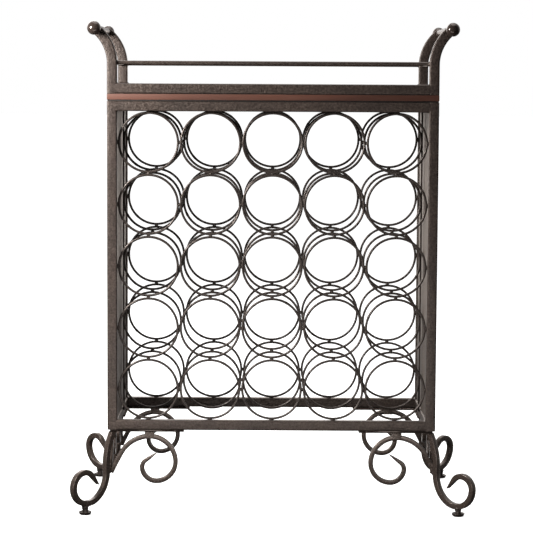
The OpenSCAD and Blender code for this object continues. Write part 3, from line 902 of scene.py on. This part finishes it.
# the board's edge from the bottom up: how far it stands in, and its height; the top is eased
BOARD_EDGE = [
    (REBATE_IN + 0.2, 0), (REBATE_IN, 0.2), (REBATE_IN, REBATE_H - 0.15), (REBATE_IN - 0.15, REBATE_H),
    (0.35, REBATE_H), (0.1, REBATE_H + 0.1), (0, REBATE_H + 0.35), (0, 7.0), (0, BOARD_T - 1.0),
    (0.15, BOARD_T - 0.5), (0.5, BOARD_T - 0.15), (1.0, BOARD_T),
]
s = Shape()
loops = []
for inset, z in BOARD_EDGE:
    outline = rounded_rect(2 * HALF_W - 2 * inset, 2 * HALF_D - 2 * inset, 1.2, 4)
    loops.append(place(outline, (0, 0, BOARD_Z0 + z)))
s.skin(loops)
board = make("tray_board_wood", s, None, None, WOOD)
cut = Shape()
for sx, sy in CORNERS.values():
    lathe(cut, [(4.2, -1), (4.0, 0.0), (3.4, 0.6), (3.4, 5.5)], (sx * POST_X, sy * POST_Y, BOARD_Z0), n=32)
for x, y in board_screw_places():
    lathe(cut, [(4.7, -1), (4.5, 0.2), (4.5, 3.2), (2.2, 3.2001), (2.2, 14)], (x, y, BOARD_Z0), n=32)
boolean_cut(board, make("cutter", cut, None, None, WOOD))
board.data.polygons.foreach_set("use_smooth", [True] * len(board.data.polygons))
board.data.set_sharp_from_angle(angle=math.radians(30))
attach(board, "tray")
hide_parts("tray_board")

s = Shape()
for x, y in board_screw_places():
    profile = [(3.95, 2.35), (3.8, 2.6), (2.0, 2.62), (2.0, 14.3), (1.6, 14.75)]
    socket_screw(s, (x, y, BOARD_Z0 + 0.6), Z_AXIS, 3.95, profile, hex_r=1.5, depth=1.3)
make("board_screw_set", s, "tray", ["board_screws"], SCREW_STEEL)

# ---- Tray rim, handle posts, grips and gallery ----
rim_z = (RIM_Z0 + RIM_Z1) / 2
for side, sy in (("front", -1), ("rear", 1)):
    s = Shape()
    square_tube(s, (-SEAM_W / 2, sy * POST_Y, rim_z), (SEAM_W / 2, sy * POST_Y, rim_z))
    for sx in (-1, 1):
        fillet(s, (sx * INNER_W / 2, sy * POST_Y, RIM_Z1), Y_AXIS, (-sx, 0, 0), Z_AXIS, 11, sx + sy * 3, 2.6)
    make(f"tray_{side}_rim_tube", s, "tray", [f"tray_{side}_rim"], TUBE_PAINT)
for side, sx in (("left", -1), ("right", 1)):
    s = Shape()
    square_tube(s, (sx * POST_X, -SEAM_D / 2, rim_z), (sx * POST_X, SEAM_D / 2, rim_z))
    for sy in (-1, 1):
        fillet(s, (sx * POST_X, sy * INNER_D / 2, RIM_Z1), X_AXIS, (0, -sy, 0), Z_AXIS, 11, sx * 5 + sy, 2.6)
    make(f"tray_{side}_rim_tube", s, "tray", [f"tray_{side}_rim"], TUBE_PAINT)

for corner, (sx, sy) in CORNERS.items():
    s = Shape()
    outer = rounded_rect(TUBE, TUBE, TUBE_R)
    eased = rounded_rect(TUBE - 0.7, TUBE - 0.7, TUBE_R - 0.35)
    hollow = rounded_rect(TUBE - 2 * TUBE_WALL, TUBE - 2 * TUBE_WALL, TUBE_R - 1)
    base = Vector((POST_X, sy * POST_Y, 0))
    loops = [place(hollow, base + Vector((0, 0, RIM_Z0 + 6))),
             place(hollow, base + Vector((0, 0, RIM_Z0))),
             place(eased, base + Vector((0, 0, RIM_Z0)))]
    for z in (RIM_Z0 + 0.35, 690, 705, 717, BEND_Z):
        loops.append(place(outer, base + Vector((0, 0, z))))
    bends = 30
    stop = BEND_DEG - 1.6
    for k in range(1, bends + 1):
        a = math.radians(stop * k / bends)
        c = base + Vector((BEND_R * (1 - math.cos(a)), 0, BEND_Z + BEND_R * math.sin(a)))
        loops.append(place(outer, c, (math.cos(a), 0, -math.sin(a)), Y_AXIS))
    s.skin(loops)
    whole = Shape()
    whole.join(s, Matrix.Diagonal((1 if sx > 0 else -1, 1, 1, 1)))
    make(f"{corner}_handle_tube", whole, "tray", [f"{corner}_handle_post"], TUBE_PAINT)

for side, sx in (("left", -1), ("right", 1)):
    s = Shape()
    half = HALF_D + 1.5
    profile = [(0.01, -half - 6), (3.9, -half - 6), (3.9, -half), (5.7, -half), (GRIP_R, -half + 0.6)]
    for y in (-100, -60, -20, 20, 60, 100):
        profile.append((GRIP_R, y))
    profile += [(GRIP_R, half - 0.6), (5.7, half), (3.9, half), (3.9, half + 6), (0.01, half + 6)]
    lathe(s, profile, (sx * GRIP_X, 0, GRIP_Z), Y_AXIS, 64)
    # weld beads around the grip where the bent posts meet it
    for sy in (-1, 1):
        for edge in (-1, 1):
            y = sy * POST_Y + edge * 7.8
            bead = [(-0.3, -1.4), (0.15, -1.1), (0.75, -0.2), (0.8, 0.2), (0.15, 1.1), (-0.3, 1.4)]
            lathe(s, [(GRIP_R + out, h) for out, h in bead], (sx * GRIP_X, y, GRIP_Z), Y_AXIS, 48)
    make(f"{side}_grip_bar", s, "tray", [f"{side}_grip"], ROD_PAINT)

s = Shape()
for sx, sy in CORNERS.values():
    neck = -(BALL_Y - HALF_D - 1.5)
    collar = [(3.95, 6), (3.95, 0), (6.9, 0), (7.4, 0.5), (7.5, 1.2), (7.4, 2.0), (7.15, 2.6)]
    profile = [(r, neck + h) for r, h in collar]
    for k in range(1, 40):
        a = math.pi * k / 40
        h, r = -BALL_R * math.cos(a), BALL_R * math.sin(a)
        if h > neck + 2.7 and (r > 7.15 or h > 0):
            profile.append((r, h))
    profile.append((0.01, BALL_R))
    lathe(s, profile, (sx * GRIP_X, sy * BALL_Y, GRIP_Z), (0, sy, 0), 64)
make("grip_ball_ends", s, "tray", ["grip_balls"], BALL_PAINT, sharp=40)


def flared_rod(shape, start, end):
    """Round rod with small weld flares at both ends."""
    a, b = Vector(start), Vector(end)
    length = (b - a).length
    flare = [(4.4, 0), (4.3, 0.3), (3.6, 0.9), (3.1, 1.7), (ROD_R, 2.6)]
    profile = flare + [(ROD_R, length * k / 12) for k in range(1, 12)]
    profile += [(r, length - h) for r, h in reversed(flare)]
    lathe(shape, profile, a, b - a, 32)


for side, sy in (("front", -1), ("rear", 1)):
    s = Shape()
    flared_rod(s, (-INNER_W / 2, sy * POST_Y, ROD_Z), (INNER_W / 2, sy * POST_Y, ROD_Z))
    make(f"{side}_gallery_rod_bar", s, "tray", [f"{side}_gallery_rod"], ROD_PAINT)
for side, sx in (("left", -1), ("right", 1)):
    s = Shape()
    flared_rod(s, (sx * POST_X, -INNER_D / 2, ROD_Z), (sx * POST_X, INNER_D / 2, ROD_Z))
    make(f"{side}_gallery_rod_bar", s, "tray", [f"{side}_gallery_rod"], ROD_PAINT)

# ---- Floor, world, lights and camera ----
floor_mesh = bpy.data.meshes.new("floor")
FAR = 40.0
floor_corners = [(-FAR, -FAR, 0), (FAR, -FAR, 0), (FAR, FAR, 0), (-FAR, FAR, 0)]
floor_mesh.from_pydata(floor_corners, [], [(0, 1, 2, 3)])
floor = bpy.data.objects.new("floor", floor_mesh)
bpy.context.scene.collection.objects.link(floor)
floor_mat, nt, bsdf, co = new_material("pale_floor")
bsdf.inputs["Base Color"].default_value = (0.86, 0.86, 0.86, 1)
bsdf.inputs["Roughness"].default_value = 0.7
bsdf.inputs["Emission Color"].default_value = (1, 1, 1, 1)
bsdf.inputs["Emission Strength"].default_value = 0.7
floor_mesh.materials.append(floor_mat)
floor.visible_diffuse = False
floor.visible_glossy = False

world = bpy.data.worlds.new("studio")
world.use_nodes = True
bpy.context.scene.world = world
nt = world.node_tree
nt.nodes.clear()
out = nt.nodes.new("ShaderNodeOutputWorld")
dim = nt.nodes.new("ShaderNodeBackground")
dim.inputs[0].default_value = (1, 1, 1, 1)
coord = nt.nodes.new("ShaderNodeTexCoord")
split = nt.nodes.new("ShaderNodeSeparateXYZ")
nt.links.new(coord.outputs["Generated"], split.inputs[0])
around = map_range(nt, split.outputs["Y"], -0.15, 0.55, 0.08, 1.0)
below = map_range(nt, split.outputs["Z"], -0.35, 0.0, 0.12, 1.0)
nt.links.new(maths(nt, "MULTIPLY", around, below), dim.inputs[1])
white = nt.nodes.new("ShaderNodeBackground")
white.inputs[0].default_value = (1, 1, 1, 1)
white.inputs[1].default_value = 1.0
path = nt.nodes.new("ShaderNodeLightPath")
mix = nt.nodes.new("ShaderNodeMixShader")
nt.links.new(path.outputs["Is Camera Ray"], mix.inputs[0])
nt.links.new(dim.outputs[0], mix.inputs[1])
nt.links.new(white.outputs[0], mix.inputs[2])
nt.links.new(mix.outputs[0], out.inputs[0])


def area(name, location, target, size, power, colour=(1, 1, 1)):
    data = bpy.data.lights.new(name, "AREA")
    data.shape = "RECTANGLE"
    data.size, data.size_y = size
    data.energy = power
    data.color = colour
    ob = bpy.data.objects.new(name, data)
    ob.location = location
    ob.rotation_mode = "QUATERNION"
    ob.rotation_quaternion = (Vector(target) - Vector(location)).to_track_quat("-Z", "Y")
    ob.visible_camera = False
    bpy.context.scene.collection.objects.link(ob)
    return ob


area("key", (-0.72, -0.52, 0.84), (-0.15, 0, 0.5), (0.25, 0.25), 21, (1.0, 0.985, 0.96))
area("low", (-0.08, -0.78, 0.12), (0, 0, 0.12), (0.9, 0.15), 2.9, (1.0, 0.985, 0.97))
area("inner", (0, 1.1, 0.5), (0, 0, 0.42), (0.5, 0.6), 1.5, (1.0, 0.9, 0.8))
area("top", (0.2, 0.2, 3.0), (0, 0, 0.4), (2.4, 2.0), 38)
area("back", (-1.2, 2.8, 1.8), (0, 0, 0.5), (2.0, 1.6), 28)

EYE = (-0.00407, -3.4001, 0.6938)  # metres
SENSOR = 36
LENS = 137.77936
PITCH_DOWN, ROLL, YAW = (math.radians(a) for a in (5.139, 0.307, 0.0896))
cam_data = bpy.data.cameras.new("camera")
cam_data.sensor_width = SENSOR
cam_data.lens = LENS
cam_data.clip_start, cam_data.clip_end = 0.1, 100
cam = bpy.data.objects.new("camera", cam_data)
level = math.cos(PITCH_DOWN)
forward = Vector((-math.sin(YAW) * level, math.cos(YAW) * level, -math.sin(PITCH_DOWN)))
level_right = Vector((math.cos(YAW), math.sin(YAW), 0))
level_up = level_right.cross(forward)
right = level_right * math.cos(ROLL) + level_up * math.sin(ROLL)
up = level_up * math.cos(ROLL) - level_right * math.sin(ROLL)
cam.matrix_world = Matrix((
    (right.x, up.x, -forward.x, EYE[0]),
    (right.y, up.y, -forward.y, EYE[1]),
    (right.z, up.z, -forward.z, EYE[2]),
    (0, 0, 0, 1),
))
bpy.context.scene.collection.objects.link(cam)
bpy.context.scene.camera = cam
bpy.context.scene.view_settings.view_transform = "Standard"
